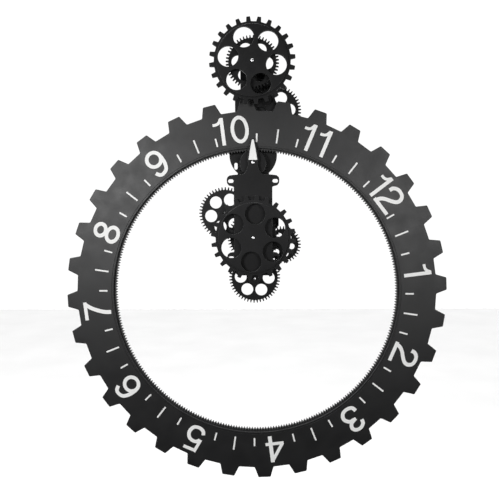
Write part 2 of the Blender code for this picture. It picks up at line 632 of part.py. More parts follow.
def main():
    for thing in list(bpy.data.objects):
        bpy.data.objects.remove(thing)
    plastic = make_material("satin_black_plastic", (0.018, 0.018, 0.019), 0.42)
    inner_plastic = make_material("grey_plastic", (0.12, 0.12, 0.13), 0.5)
    steel = make_material("steel", (0.62, 0.62, 0.64), 0.25, 1.0)
    battery_skin = make_material("battery_skin", (0.10, 0.16, 0.30), 0.35)

    drop = pitch_radius(RING_GEAR_TEETH, RING_MODULE) - pitch_radius(RING_PINION_TEETH, RING_MODULE)
    ring_centre = (RING_OFFSET_X, -math.sqrt(drop ** 2 - RING_OFFSET_X ** 2))
    left = polar(reach(WHEEL_TEETH, LOWER_LEFT_PINION_TEETH), LEFT_AXLE_BEARING, LOWER_AXLE)
    right = polar(reach(LOWER_RIGHT_PINION_TEETH, RIGHT_WHEEL_TEETH), RIGHT_AXLE_BEARING,
                  LOWER_AXLE)
    bottom = polar(reach(WHEEL_TEETH, LOWER_PINION_TEETH), BOTTOM_AXLE_BEARING, LOWER_AXLE)
    upper_idler = meeting_point(DRIVE_AXLE, reach(DRIVE_TEETH, UPPER_IDLER_TEETH),
                                UPPER_RIGHT_AXLE, reach(UPPER_IDLER_TEETH, WHEEL_TEETH), 1)
    top_idler = meeting_point(TOP_AXLE, reach(TOP_PINION_TEETH, TOP_IDLER_TEETH),
                              UPPER_RIGHT_AXLE, reach(TOP_IDLER_TEETH, WHEEL_TEETH), -1)
    first, second = LOWER_IDLER_TEETH
    lower_idler_a = polar(reach(DRIVE_TEETH, first), LOWER_IDLER_BEARING, DRIVE_AXLE)
    lower_idler_b = meeting_point(lower_idler_a, reach(first, second),
                                  LOWER_AXLE, reach(second, LOWER_PINION_TEETH), 1)

    gear_phase = 0.0
    hour_ring(ring_centre, gear_phase, plastic)
    pinion_phase = inside_mesh(ring_centre, RING_GEAR_TEETH, gear_phase, DRIVE_AXLE,
                               RING_PINION_TEETH)
    drive_phase = 0.0
    drive_group(pinion_phase, drive_phase, plastic, steel)

    # Upper train: drive wheel, idler, upper right wheel, idler, top pinion
    idler_phase = outside_mesh(DRIVE_AXLE, DRIVE_TEETH, drive_phase, upper_idler, UPPER_IDLER_TEETH)
    plain_pinion("upper_idler", plastic, upper_idler,
                 pinion_outline(upper_idler, UPPER_IDLER_TEETH, idler_phase), REAR_PLANE)
    fixed_pin("upper_idler_pin", steel, upper_idler, REAR_PLANE[1] + AXLE_GAP)
    wheel_phase = outside_mesh(upper_idler, UPPER_IDLER_TEETH, idler_phase, UPPER_RIGHT_AXLE,
                               WHEEL_TEETH)
    holed_wheel("upper_right_wheel", plastic, UPPER_RIGHT_AXLE, WHEEL_TEETH, wheel_phase,
                REAR_PLANE, WHEEL_HOLE_R, WHEEL_HOLE_CIRCLE_R, UPPER_RIGHT_HOLE_PHASE)
    shaft("upper_right_shaft", steel, UPPER_RIGHT_AXLE, REAR_PLANE[1] + SHAFT_OVERHANG)
    idler_phase = outside_mesh(UPPER_RIGHT_AXLE, WHEEL_TEETH, wheel_phase, top_idler,
                               TOP_IDLER_TEETH)
    plain_pinion("top_idler", plastic, top_idler,
                 pinion_outline(top_idler, TOP_IDLER_TEETH, idler_phase), REAR_PLANE)
    fixed_pin("top_idler_pin", steel, top_idler, REAR_PLANE[1] + AXLE_GAP)
    pinion_turn = outside_mesh(top_idler, TOP_IDLER_TEETH, idler_phase, TOP_AXLE,
                               TOP_PINION_TEETH)
    plain_pinion("top_pinion", plastic, TOP_AXLE,
                 pinion_outline(TOP_AXLE, TOP_PINION_TEETH, pinion_turn), REAR_PLANE,
                 TOP_WHEEL_PLANE[0] - AXLE_GAP)
    holed_wheel("top_wheel", plastic, TOP_AXLE, WHEEL_TEETH, TOP_WHEEL_PHASE, TOP_WHEEL_PLANE,
                WHEEL_HOLE_R, WHEEL_HOLE_CIRCLE_R, TOP_WHEEL_HOLE_PHASE)
    show_gear("top_gear", plastic, TOP_AXLE, TOP_GEAR_PHASE, TOP_GEAR_HOLE_PHASE, TOP_GEAR_PLANE,
              TOP_WEB_FRONT, TOP_WHEEL_PLANE[1] + AXLE_GAP)
    shaft("top_shaft", steel, TOP_AXLE, TOP_WEB_FRONT + SHAFT_OVERHANG)

    # Lower train: two idlers down to the lower axle, and three wheels around it
    idler_phase = outside_mesh(DRIVE_AXLE, DRIVE_TEETH, drive_phase, lower_idler_a, first)
    plain_pinion("lower_idler_a", plastic, lower_idler_a,
                 pinion_outline(lower_idler_a, first, idler_phase), REAR_PLANE)
    fixed_pin("lower_idler_a_pin", steel, lower_idler_a, REAR_PLANE[1] + AXLE_GAP)
    next_phase = outside_mesh(lower_idler_a, first, idler_phase, lower_idler_b, second)
    plain_pinion("lower_idler_b", plastic, lower_idler_b,
                 pinion_outline(lower_idler_b, second, next_phase), REAR_PLANE)
    fixed_pin("lower_idler_b_pin", steel, lower_idler_b, REAR_PLANE[1] + AXLE_GAP)
    rear_phase = outside_mesh(lower_idler_b, second, next_phase, LOWER_AXLE, LOWER_PINION_TEETH)
    plain_pinion("lower_pinion", plastic, LOWER_AXLE,
                 pinion_outline(LOWER_AXLE, LOWER_PINION_TEETH, rear_phase), REAR_PLANE,
                 RIGHT_PLANE[0] - AXLE_GAP)
    right_phase = 0.0
    plain_pinion("lower_right_pinion", plastic, LOWER_AXLE,
                 pinion_outline(LOWER_AXLE, LOWER_RIGHT_PINION_TEETH, right_phase), RIGHT_PLANE,
                 MIDDLE_PLANE[0] - AXLE_GAP)
    plain_pinion("lower_wheel", plastic, LOWER_AXLE,
                 wheel_outline(LOWER_AXLE, WHEEL_TEETH, 0.0), MIDDLE_PLANE,
                 LEFT_PLANE[0] - AXLE_GAP)
    left_phase = 0.0
    plain_pinion("lower_left_pinion", plastic, LOWER_AXLE,
                 pinion_outline(LOWER_AXLE, LOWER_LEFT_PINION_TEETH, left_phase), LEFT_PLANE,
                 PLATE_BACK - AXLE_GAP)
    show_gear("lower_gear", plastic, LOWER_AXLE, LOWER_GEAR_PHASE, LOWER_GEAR_HOLE_PHASE,
              LOWER_GEAR_PLANE, LOWER_WEB_FRONT, PLATE_FRONT + AXLE_GAP)
    shaft("lower_shaft", steel, LOWER_AXLE, LOWER_WEB_FRONT + SHAFT_OVERHANG)

    wheel_phase = outside_mesh(LOWER_AXLE, LOWER_LEFT_PINION_TEETH, left_phase, left, WHEEL_TEETH)
    holed_wheel("left_wheel", plastic, left, WHEEL_TEETH, wheel_phase, LEFT_PLANE,
                WHEEL_HOLE_R, WHEEL_HOLE_CIRCLE_R, LEFT_HOLE_PHASE, hub_heights=(REAR_PLANE[0],))
    shaft("left_shaft", steel, left, LEFT_PLANE[1] + SHAFT_OVERHANG)

    wheel_phase = outside_mesh(LOWER_AXLE, LOWER_RIGHT_PINION_TEETH, right_phase, right,
                               RIGHT_WHEEL_TEETH)
    holed_wheel("right_wheel", plastic, right, RIGHT_WHEEL_TEETH, wheel_phase, RIGHT_PLANE,
                RIGHT_HOLE_R, RIGHT_HOLE_CIRCLE_R, RIGHT_HOLE_PHASE,
                hub_heights=(REAR_PLANE[0],), hole_steps=8)
    shaft("right_shaft", steel, right, RIGHT_PLANE[1] + SHAFT_OVERHANG)

    wheel_phase = outside_mesh(LOWER_AXLE, LOWER_PINION_TEETH, rear_phase, bottom, WHEEL_TEETH)
    holed_wheel("bottom_wheel", plastic, bottom, WHEEL_TEETH, wheel_phase, REAR_PLANE,
                WHEEL_HOLE_R, WHEEL_HOLE_CIRCLE_R, BOTTOM_HOLE_PHASE,
                hub_heights=(PLATE_BACK - AXLE_GAP,))
    pin = circle(bottom, SHAFT_R, 12)
    stacked("bottom_pin", steel, bottom, (PIN_BACK, PLATE_FRONT + SHAFT_OVERHANG), [[pin]])

    # Frame
    bearings = [DRIVE_AXLE, TOP_AXLE, LOWER_AXLE, UPPER_RIGHT_AXLE, left, right, bottom,
                upper_idler, top_idler, lower_idler_a, lower_idler_b]
    tower_housing(face_outline(left, right, UPPER_RIGHT_AXLE, bottom), bearings, plastic)
    front_plate(bottom, plastic)
    back_cover(plastic)
    screws(steel)
    movement(inner_plastic, battery_skin, steel)


main()
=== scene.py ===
"""Looks of the big-wheel skeleton wall clock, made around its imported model.

Outlines are drawn in millimetres in the clock's face plane: x to the right, z up, with the
drive axle at (0, 0).  Heights are millimetres in front of the wall.  Angles are in degrees,
anticlockwise as seen from the front.
"""
import math

import bmesh
import bpy
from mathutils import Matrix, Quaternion, Vector
from mathutils.geometry import delaunay_2d_cdt


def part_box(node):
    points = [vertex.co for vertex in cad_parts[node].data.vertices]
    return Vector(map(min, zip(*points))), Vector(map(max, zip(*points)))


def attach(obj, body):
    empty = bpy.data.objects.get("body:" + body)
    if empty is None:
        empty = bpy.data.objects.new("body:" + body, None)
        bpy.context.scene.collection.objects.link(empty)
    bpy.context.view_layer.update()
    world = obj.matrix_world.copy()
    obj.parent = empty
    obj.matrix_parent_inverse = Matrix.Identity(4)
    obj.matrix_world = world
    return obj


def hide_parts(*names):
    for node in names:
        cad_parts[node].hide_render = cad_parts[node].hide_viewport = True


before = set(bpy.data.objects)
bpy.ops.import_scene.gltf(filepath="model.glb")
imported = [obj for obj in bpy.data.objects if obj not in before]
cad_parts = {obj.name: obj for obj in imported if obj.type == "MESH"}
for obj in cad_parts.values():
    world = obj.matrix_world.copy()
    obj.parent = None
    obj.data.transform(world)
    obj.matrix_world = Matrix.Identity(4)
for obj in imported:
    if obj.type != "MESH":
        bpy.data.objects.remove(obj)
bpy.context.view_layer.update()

MM = 0.001
ROUND_STEPS = 2
SMOOTH_ANGLE = 52.0

# Hour ring
RING_TOOTH_COUNT = 32
RING_TIP_R = 275.0
RING_ROOT_R = 260.1
RING_ROOT_WIDTH = 28.0
RING_TIP_WIDTH = 17.8
RING_INNER_R = 207.0
RING_GROOVE = (208.6, 210.0)
RING_GEAR_TEETH = 326
RING_MODULE = 1.25
RING_GEAR_OUTER_R = 217.0
PINION_TEETH = 28
PINION_FLANGE_R = 19.2
PINION_HUB_R = 6.0
PINION_HUB_LENGTH = 5.4

# Numbers and ticks printed on the ring
NUMERAL_BASE_R = 214.9
NUMERAL_HEIGHT = 39.2
NUMERAL_STROKE = 0.13
DIGIT_GAP = {10: 0.23, 11: 0.2, 12: 0.1}
DIGIT_WIDTH = {2: 1.1, 3: 1.1, 4: 1.1, 5: 1.05, 6: 1.07, 7: 1.12, 8: 1.09, 9: 1.05}
NUMERAL_SHIFT = {1: -2.2, 2: 1.8, 4: 0.8, 6: 2.1, 7: 3.2, 8: -2.8, 10: -5.0, 11: -6.2}
NUMERAL_DROP = {4: 1.0, 7: 2.0, 8: 2.0, 9: 1.0}
TEN_BEARING = 97.07
TICK_BEARING = 96.8
TICK_BASE_R = 215.8
SHORT_TICK_R = 227.9
LONG_TICK_R = 235.8
TICK_WIDTH = 2.3
PRINT_GAP = 0.03
PRINT_HEIGHT = 0.15

# Fine wheels and show gears
MODULE = 1.5
WHEEL_TOOTH = {"root": 1.6, "tip": 1.0, "widths": (0.52, 0.27)}
PINION_TOOTH = {"root": 1.6, "tip": 0.75, "widths": (0.8, 0.12)}
RING_PINION_TOOTH = {"root": 1.2, "tip": 0.8, "widths": (0.42, 0.17)}
WHEEL_TEETH = 48
WHEEL_THICKNESS = 4.0
WHEEL_HOLE = (8.7, 20.6)
SMALL_WHEEL_HOLE = (4.2, 13.7)
HUB_R = 8.0
BORE_R = 2.4
SHOW_TOOTH_COUNT = 24
SHOW_TIP_R = 60.0
SHOW_ROOT_R = 53.4
SHOW_ROOT_WIDTH = 6.8
SHOW_TIP_WIDTH = 5.0
SHOW_WEB_R = 50.0
SHOW_HOLE = (14.3, 34.0)
TOP_GEAR_STEPS = (5.5, 1.5)
LOWER_GEAR_STEPS = (6.5, 2.0)
HOLE_BEARING = {"top_gear": 50.0, "top_wheel": 56.7, "upper_right_wheel": 6.0, "lower_gear": 24.7,
                "left_wheel": 10.4, "right_wheel": 49.7, "bottom_wheel": -2.1}

# Axles
SHAFT_R = 2.3
COLLAR_R = 4.2
COLLAR_LENGTH = 1.6
PIN_HEAD = 1.2
BRIGHT_SHAFTS = ("drive_shaft", "top_shaft", "lower_shaft")

# Tower
WALL_HALF = 20.5
SHELL_THICKNESS = 2.2
FACE_HALF = 26.0
PLATE_HALF = 27.5
NECK_R = 18.0
SHOULDER_LOW = 93.0
SHOULDER_HIGH = 105.0
TOWER_BOTTOM = -148.0
PLATE_BOTTOM = -161.0
CORNER = 5.0
BOTTOM_ARM_R = 8.0
RIGHT_ARM_R = 5.5
LEFT_ARM_R = 6.0
UPPER_RIGHT_ARM_R = 6.0
TONGUE_R = 8.5
UPPER_GUSSET = ((30.0, 82.0), (30.0, 108.0), (25.0, 126.0), (NECK_R, 134.0))
LOWER_GUSSET = ((32.0, -96.5), (37.0, -90.0), (37.0, -79.0), (32.0, -70.0))
DISC_R = 34.7
DISC_CENTRE = (0.0, 12.9)
DISC_LOW_BEARING = -49.5
DISC_FOOT = -26.0
FACE_WALL = 3.0
BOSS_LENGTH = 11.0
POST_HOLE_DEPTH = 16.0
SLOT_CENTRE = (-25.2, -3.2)
SLOT_HALF = (2.4, 5.0)
EAR_SLOT = ((31.6, -26.0), (3.9, 2.6))
LOWER_EAR_DROP = 110.0
PLATE_THICKNESS = 3.0
PILOT_FRONT = 62.0
BOSS_R = 5.2
PILLAR_R = 3.2
PILLAR_SPOTS = ((23.3, -24.0), (-23.3, -22.0), (23.3, -58.0))
POST_R = 3.6
POST_SPOTS = ((-14.0, 80.0), (14.0, 80.0), (-14.5, -138.0), (14.5, -138.0))
KEYHOLE_HEAD = (0.0, 112.0)
KEYHOLE_HEAD_R = 5.0
KEYHOLE_SLOT_HALF = 2.2
KEYHOLE_TOP = 122.0

# Movement and fasteners
CASE_HALF = (17.6, 33.0)
BATTERY_X = 9.0
BATTERY_R = 7.2
BATTERY_HALF = 25.0
BATTERY_HEIGHT = 13.6
KNOB_R = 6.0
SCREW_R = 1.3
SCREW_HOLE_R = 1.45
SCREW_HEAD_R = 2.4
SCREW_HEAD_HEIGHT = 1.1
SCREW_POCKET_R = 2.7
SCREW_CLEARANCE_R = 1.7


# Where the CAD stands

def middle(node):
    """Centre of a CAD node in the face plane."""
    low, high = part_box(node)
    return ((low.x + high.x) / 2 / MM, (low.z + high.z) / 2 / MM)


def heights(node):
    """Heights of a CAD node's back and front."""
    low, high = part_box(node)
    return (-high.y / MM, -low.y / MM)


def turned(node, centre, low_r, high_r, count):
    """Mean angle of a CAD node's points between two radii, folded into one of count parts."""
    east = 0.0
    north = 0.0
    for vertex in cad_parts[node].data.vertices:
        x = vertex.co.x / MM - centre[0]
        z = vertex.co.z / MM - centre[1]
        if low_r < math.hypot(x, z) < high_r:
            east += math.cos(count * math.atan2(z, x))
            north += math.sin(count * math.atan2(z, x))
    return math.degrees(math.atan2(north, east)) / count


DRIVE = middle("drive_shaft")
TOP = middle("top_shaft")
LOWER = middle("lower_shaft")
LEFT = middle("left_shaft")
RIGHT = middle("right_shaft")
UPPER_RIGHT = middle("upper_right_shaft")
BOTTOM = middle("bottom_pin")
RING = middle("ring_gear")
KNOB = middle("setting_knob")


# Plane geometry

def polar(radius, angle, centre=(0.0, 0.0)):
    turn = math.radians(angle)
    return (centre[0] + radius * math.cos(turn), centre[1] + radius * math.sin(turn))


def arc(centre, radius, start, end, steps):
    """Points along an arc, both ends included."""
    return [polar(radius, start + (end - start) * i / steps, centre) for i in range(steps + 1)]


def circle(centre, radius, steps=48):
    return [polar(radius, 360.0 * i / steps, centre) for i in range(steps)]


def ellipse(centre, half_x, half_z, steps=40):
    """Closed line: its last point is its first."""
    turns = [2 * math.pi * i / steps for i in range(steps + 1)]
    return [(centre[0] + half_x * math.cos(t), centre[1] + half_z * math.sin(t)) for t in turns]


def rectangle(centre, half_x, half_z):
    x, z = centre
    return [(x - half_x, z - half_z), (x + half_x, z - half_z),
            (x + half_x, z + half_z), (x - half_x, z + half_z)]


def slot(centre, half_x, half_z, steps=12):
    """A slot with round ends, along its longer side."""
    x, z = centre
    if half_x > half_z:
        reach = half_x - half_z
        return (arc((x + reach, z), half_z, -90, 90, steps)
                + arc((x - reach, z), half_z, 90, 270, steps))
    reach = half_z - half_x
    return (arc((x, z + reach), half_x, 0, 180, steps)
            + arc((x, z - reach), half_x, 180, 360, steps))


def signed_area(loop):
    pairs = zip(loop, loop[1:] + loop[:1])
    return sum(a[0] * b[1] - b[0] * a[1] for a, b in pairs) / 2


def inset(loop, amount):
    """The loop drawn inwards by an amount, with mitred corners."""
    if amount == 0.0:
        return loop
    side = math.copysign(1.0, signed_area(loop))
    moved = []
    for i in range(len(loop)):
        here = Vector(loop[i])
        before = (here - Vector(loop[i - 1])).normalized()
        after = (Vector(loop[(i + 1) % len(loop)]) - here).normalized()
        normal = Vector((-before.y - after.y, before.x + after.x)) * side
        reach = max(normal.length_squared / 2, 0.2)
        moved.append(tuple(here + normal * amount / reach))
    return moved


def eased(loop, radius, steps=3):
    """The loop with its corners rounded off."""
    points = []
    for i in range(len(loop)):
        corner = Vector(loop[i])
        before = Vector(loop[i - 1]) - corner
        after = Vector(loop[(i + 1) % len(loop)]) - corner
        start = corner + before.normalized() * min(radius, before.length * 0.42)
        end = corner + after.normalized() * min(radius, after.length * 0.42)
        for k in range(steps + 1):
            t = k / steps
            points.append(tuple(start * (1 - t) ** 2 + corner * 2 * t * (1 - t) + end * t ** 2))
    return points


def curved(points, steps=8):
    """Smooth line through listed points."""
    line = [points[0]]
    padded = [points[0]] + list(points) + [points[-1]]
    for a, b, c, d in zip(padded, padded[1:], padded[2:], padded[3:]):
        for k in range(1, steps + 1):
            t = k / steps
            line.append(tuple(
                (2 * q + (r - p) * t + (2 * p - 5 * q + 4 * r - s) * t ** 2
                 + (3 * q - p - 3 * r + s) * t ** 3) / 2
                for p, q, r, s in zip(a, b, c, d)))
    return line


# Gear outlines

def toothed(count, root_r, tip_r, root_width, tip_width, phase, centre):
    """Outline with trapezoid teeth; tip_r below root_r points them inwards."""
    step = 360.0 / count
    root_half = math.degrees(root_width / 2 / root_r)
    tip_half = math.degrees(tip_width / 2 / tip_r)
    points = []
    for i in range(count):
        bearing = phase + i * step
        points.append(polar(root_r, bearing - root_half, centre))
        points.append(polar(tip_r, bearing - tip_half, centre))
        points.append(polar(tip_r, bearing + tip_half, centre))
        points.append(polar(root_r, bearing + root_half, centre))
    return points


def wheel_outline(node, centre, teeth, module=MODULE, tooth=WHEEL_TOOTH):
    """Finger teeth standing where the CAD wheel's teeth stand.

    A tooth's root and tip are depths in modules, and its widths are shares of the spacing.
    """
    pitch_arc = math.pi * module
    radius = teeth * module / 2
    tip_r = radius + tooth["tip"] * module
    phase = turned(node, centre, tip_r - 0.2, tip_r + 0.2, teeth)
    root_width, tip_width = tooth["widths"]
    outline = toothed(teeth, radius - tooth["root"] * module, tip_r, root_width * pitch_arc,
                      tip_width * pitch_arc, phase, centre)
    return eased(outline, 0.2, 2)


def pinion_outline(node, centre, teeth):
    """Fuller teeth, inside the pointed ones of the CAD pinions."""
    return wheel_outline(node, centre, teeth, tooth=PINION_TOOTH)


def hole_ring(node, centre, size):
    """Six round holes where the CAD wheel has them."""
    radius, circle_r = size
    return [circle(polar(circle_r, HOLE_BEARING[node] + 60.0 * i, centre), radius)
            for i in range(6)]


# Materials

def add_node(tree, kind, **settings):
    node = tree.nodes.new(kind)
    for key, value in settings.items():
        if key in node.inputs:
            node.inputs[key].default_value = value
        else:
            setattr(node, key, value)
    return node


def noise(tree, scale, detail=3.0):
    """Noise value over the object's own coordinates."""
    place = add_node(tree, "ShaderNodeTexCoord")
    texture = add_node(tree, "ShaderNodeTexNoise", Scale=scale, Detail=detail)
    tree.links.new(place.outputs["Object"], texture.inputs["Vector"])
    return texture.outputs["Fac"]


def spread(tree, value, low, high, start=0.3, end=0.7):
    """A noise value stretched over a range."""
    node = add_node(tree, "ShaderNodeMapRange")
    node.inputs["From Min"].default_value = start
    node.inputs["From Max"].default_value = end
    node.inputs["To Min"].default_value = low
    node.inputs["To Max"].default_value = high
    tree.links.new(value, node.inputs["Value"])
    return node.outputs["Result"]


def mottled(tree, value, dark, light):
    """Colour between two shades by a noise value."""
    ramp = add_node(tree, "ShaderNodeValToRGB")
    ramp.color_ramp.elements[0].position = 0.32
    ramp.color_ramp.elements[0].color = (*dark, 1.0)
    ramp.color_ramp.elements[1].position = 0.68
    ramp.color_ramp.elements[1].color = (*light, 1.0)
    tree.links.new(value, ramp.inputs["Fac"])
    return ramp.outputs["Color"]


def surface(name, dark, light, rough, grain, depth, metallic=0.0, specular=0.5, cloud=28.0):
    """Mottled surface: shade and gloss vary slowly, and a fine grain stands in relief."""
    material = bpy.data.materials.new(name)
    material.use_nodes = True
    tree = material.node_tree
    shader = tree.nodes["Principled BSDF"]
    shader.inputs["Metallic"].default_value = metallic
    shader.inputs["Specular IOR Level"].default_value = specular
    tree.links.new(mottled(tree, noise(tree, cloud), dark, light), shader.inputs["Base Color"])
    tree.links.new(spread(tree, noise(tree, cloud * 3.1), *rough), shader.inputs["Roughness"])
    bump = add_node(tree, "ShaderNodeBump", Strength=1.0, Distance=depth)
    tree.links.new(noise(tree, grain, 2.0), bump.inputs["Height"])
    tree.links.new(bump.outputs["Normal"], shader.inputs["Normal"])
    return material


def battery_wrap(name):
    """Battery sleeve: dark body, copper shoulder band, bare metal end."""
    material = surface(name, (0.02, 0.02, 0.024), (0.03, 0.03, 0.034), (0.22, 0.34), 900.0, 0.00001)
    tree = material.node_tree
    place = add_node(tree, "ShaderNodeTexCoord")
    split = add_node(tree, "ShaderNodeSeparateXYZ")
    tree.links.new(place.outputs["Object"], split.inputs["Vector"])
    along = spread(tree, split.outputs["Z"], 0.0, 1.0, -BATTERY_HALF * MM, BATTERY_HALF * MM)
    ramp = add_node(tree, "ShaderNodeValToRGB")
    ramp.color_ramp.interpolation = "CONSTANT"
    stops = ((0.0, (0.55, 0.55, 0.56)), (0.02, (0.02, 0.02, 0.024)), (0.66, (0.55, 0.24, 0.09)),
             (0.945, (0.55, 0.55, 0.56)))
    ramp.color_ramp.elements.remove(ramp.color_ramp.elements[1])
    for position, colour in stops:
        stop = ramp.color_ramp.elements.new(position) if position else ramp.color_ramp.elements[0]
        stop.color = (*colour, 1.0)
    tree.links.new(along, ramp.inputs["Fac"])
    shader = tree.nodes["Principled BSDF"]
    tree.links.new(ramp.outputs["Color"], shader.inputs["Base Color"])
    return material


BLACK = surface("satin_black_plastic", (0.006, 0.006, 0.0065), (0.009, 0.009, 0.0095),
                (0.40, 0.50), 1400.0, 0.00004, specular=0.18)
BLACK_EDGE = surface("polished_black_edge", (0.009, 0.009, 0.0095), (0.014, 0.014, 0.015),
                     (0.30, 0.42), 1400.0, 0.00002, specular=0.32)
RING_BLACK = surface("ring_black_plastic", (0.006, 0.006, 0.0065), (0.010, 0.010, 0.0105),
                     (0.40, 0.48), 1100.0, 0.00005, cloud=14.0)
CASE = surface("grey_case_plastic", (0.10, 0.10, 0.105), (0.14, 0.14, 0.145),
               (0.46, 0.60), 1500.0, 0.00005)
WHITE = surface("white_print", (0.86, 0.86, 0.85), (0.93, 0.93, 0.92), (0.48, 0.62),
                2200.0, 0.00002)
STEEL = surface("turned_steel", (0.60, 0.60, 0.61), (0.74, 0.74, 0.75), (0.20, 0.34),
                2600.0, 0.00001, metallic=1.0)
ZINC = surface("zinc_screw", (0.52, 0.53, 0.55), (0.68, 0.69, 0.71), (0.28, 0.45),
               1800.0, 0.00002, metallic=1.0)
BLACKENED = surface("blackened_steel", (0.05, 0.05, 0.052), (0.08, 0.08, 0.082),
                    (0.34, 0.48), 2600.0, 0.00001, metallic=1.0)
BATTERY = battery_wrap("battery_wrap")


# Solids

def finish_piece(name, mesh, body, materials, nodes):
    """Make a piece from a bmesh, with its materials, its CAD body and the nodes it stands for."""
    bmesh.ops.recalc_face_normals(mesh, faces=mesh.faces)
    data = bpy.data.meshes.new(name)
    mesh.to_mesh(data)
    mesh.free()
    for material in materials:
        data.materials.append(material)
    data.shade_smooth()
    data.set_sharp_from_angle(angle=math.radians(SMOOTH_ANGLE))
    piece = bpy.data.objects.new(name, data)
    bpy.context.scene.collection.objects.link(piece)
    flat = piece.modifiers.new("flat_faces", "WEIGHTED_NORMAL")
    flat.keep_sharp = True
    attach(piece, body)
    if nodes:
        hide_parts(*nodes)
    return piece


class Moulding:
    """One closed body of upright walls; flat faces close it at the heights where walls end."""

    def __init__(self):
        self.mesh = bmesh.new()
        self.ends = {}

    def wall(self, loop, low, high, edge=0.0, low_edge=0.0, hole=False):
        """Wall along a loop from low to high, its front and back edges rounded off."""
        side = -1.0 if hole else 1.0
        quarter = [math.pi / 2 * k / ROUND_STEPS for k in range(ROUND_STEPS + 1)]
        rows = [(low, 0.0)]
        if low_edge:
            rows = [(low + low_edge * (1 - math.cos(a)), low_edge * (1 - math.sin(a)))
                    for a in quarter]
        if edge:
            rows += [(high - edge * (1 - math.cos(a)), edge * (1 - math.sin(a)))
                     for a in reversed(quarter)]
        else:
            rows.append((high, 0.0))
        rings = []
        for height, depth in rows:
            rings.append([self.mesh.verts.new((x * MM, -height * MM, z * MM))
                          for x, z in inset(loop, depth * side)])
        for (lower, upper), (first, second) in zip(zip(rings, rings[1:]), zip(rows, rows[1:])):
            for i in range(len(loop)):
                j = (i + 1) % len(loop)
                face = self.mesh.faces.new((lower[i], lower[j], upper[j], upper[i]))
                face.material_index = 1 if first[1] != second[1] else 0
        self.ends.setdefault(round(low, 3), []).append(rings[0])
        self.ends.setdefault(round(high, 3), []).append(rings[-1])

    def close(self):
        """Fill the flat face at each height where walls end."""
        for rings in self.ends.values():
            edges = []
            for ring in rings:
                for i in range(len(ring)):
                    edges.append(self.mesh.edges.get((ring[i], ring[(i + 1) % len(ring)])))
            bmesh.ops.triangle_fill(self.mesh, edges=edges, use_beauty=True, normal=(0, -1, 0))

    def piece(self, node, body, slot_name="black_plastic", materials=(BLACK, BLACK_EDGE)):
        self.close()
        return finish_piece(node + "_fine", self.mesh, body, materials, [node])


def lathe(name, body, materials, nodes, centre, profile, upright=False, steps=40):
    """Turned solid: profile is (radius, height) from back to front, or up the z axis."""
    mesh = bmesh.new()
    rows = []
    for radius, place in profile:
        row = []
        for x, z in circle((0.0, 0.0), radius, steps):
            spot = (x + centre[0], z - centre[1], place) if upright else (
                x + centre[0], -place, z + centre[1])
            row.append(mesh.verts.new(Vector(spot) * MM))
        rows.append(row)
    for low, high in zip(rows, rows[1:]):
        for i in range(steps):
            j = (i + 1) % steps
            mesh.faces.new((low[i], low[j], high[j], high[i]))
    mesh.faces.new(rows[0])
    mesh.faces.new(rows[-1])
    return finish_piece(name, mesh, body, materials, nodes)


# Wheels

def wheel(node, body, centre, outline, back, front, hub_back=None, hub_front=None, holes=()):
    """Flat wheel with a bore, holes with eased rims, and a hub on either side."""
    wheel_mesh = Moulding()
    wheel_mesh.wall(outline, back, front, 0.12, 0.12)
    for hole in holes:
        wheel_mesh.wall(hole, back, front, 0.25, 0.25, hole=True)
    low = back if hub_back is None else hub_back
    high = front if hub_front is None else hub_front
    wheel_mesh.wall(circle(centre, BORE_R, 32), low, high, 0.2, 0.2, hole=True)
    if hub_back is not None:
        wheel_mesh.wall(circle(centre, HUB_R), hub_back, back, low_edge=0.3)
    if hub_front is not None:
        wheel_mesh.wall(circle(centre, HUB_R), front, hub_front, 0.3)
    wheel_mesh.piece(node, body)


def fine_wheels():
    """Every fine wheel and pinion of the train, behind the show gears."""
    back, front = heights("drive_wheel")
    wheel("drive_wheel", "drive_axle", DRIVE, pinion_outline("drive_wheel", DRIVE, 28), back, front)
    for node, body, teeth in (("upper_idler", "upper_idler_axle", 17),
                              ("top_idler", "top_idler_axle", 15),
                              ("lower_idler_a", "lower_idler_a_axle", 20),
                              ("lower_idler_b", "lower_idler_b_axle", 22)):
        centre = middle(node + "_pin")
        back, front = heights(node)
        wheel(node, body, centre, pinion_outline(node, centre, teeth), back, front)
    for node, body, centre, teeth in (("top_pinion", "top_axle", TOP, 20),
                                      ("lower_pinion", "lower_axle", LOWER, 31),
                                      ("lower_right_pinion", "lower_axle", LOWER, 24),
                                      ("lower_left_pinion", "lower_axle", LOWER, 23)):
        back, front = heights(node)
        wheel(node, body, centre, pinion_outline(node, centre, teeth), back,
              back + WHEEL_THICKNESS, hub_front=front)
    back, front = heights("lower_wheel")
    wheel("lower_wheel", "lower_axle", LOWER, wheel_outline("lower_wheel", LOWER, WHEEL_TEETH),
          back, back + WHEEL_THICKNESS, hub_front=front)
    for node, body, centre, teeth, holes in (
            ("top_wheel", "top_axle", TOP, WHEEL_TEETH, WHEEL_HOLE),
            ("upper_right_wheel", "upper_right_axle", UPPER_RIGHT, WHEEL_TEETH, WHEEL_HOLE),
            ("left_wheel", "left_axle", LEFT, WHEEL_TEETH, WHEEL_HOLE),
            ("bottom_wheel", "bottom_axle", BOTTOM, WHEEL_TEETH, WHEEL_HOLE),
            ("right_wheel", "right_axle", RIGHT, 34, SMALL_WHEEL_HOLE)):
        back, front = heights(node)
        hub_front = front if node == "bottom_wheel" else None
        hub_back = back if node in ("left_wheel", "right_wheel") else None
        if hub_front:
            front = back + WHEEL_THICKNESS
        if hub_back:
            back = front - WHEEL_THICKNESS
        wheel(node, body, centre, wheel_outline(node, centre, teeth), back, front,
              hub_back, hub_front, hole_ring(node, centre, holes))


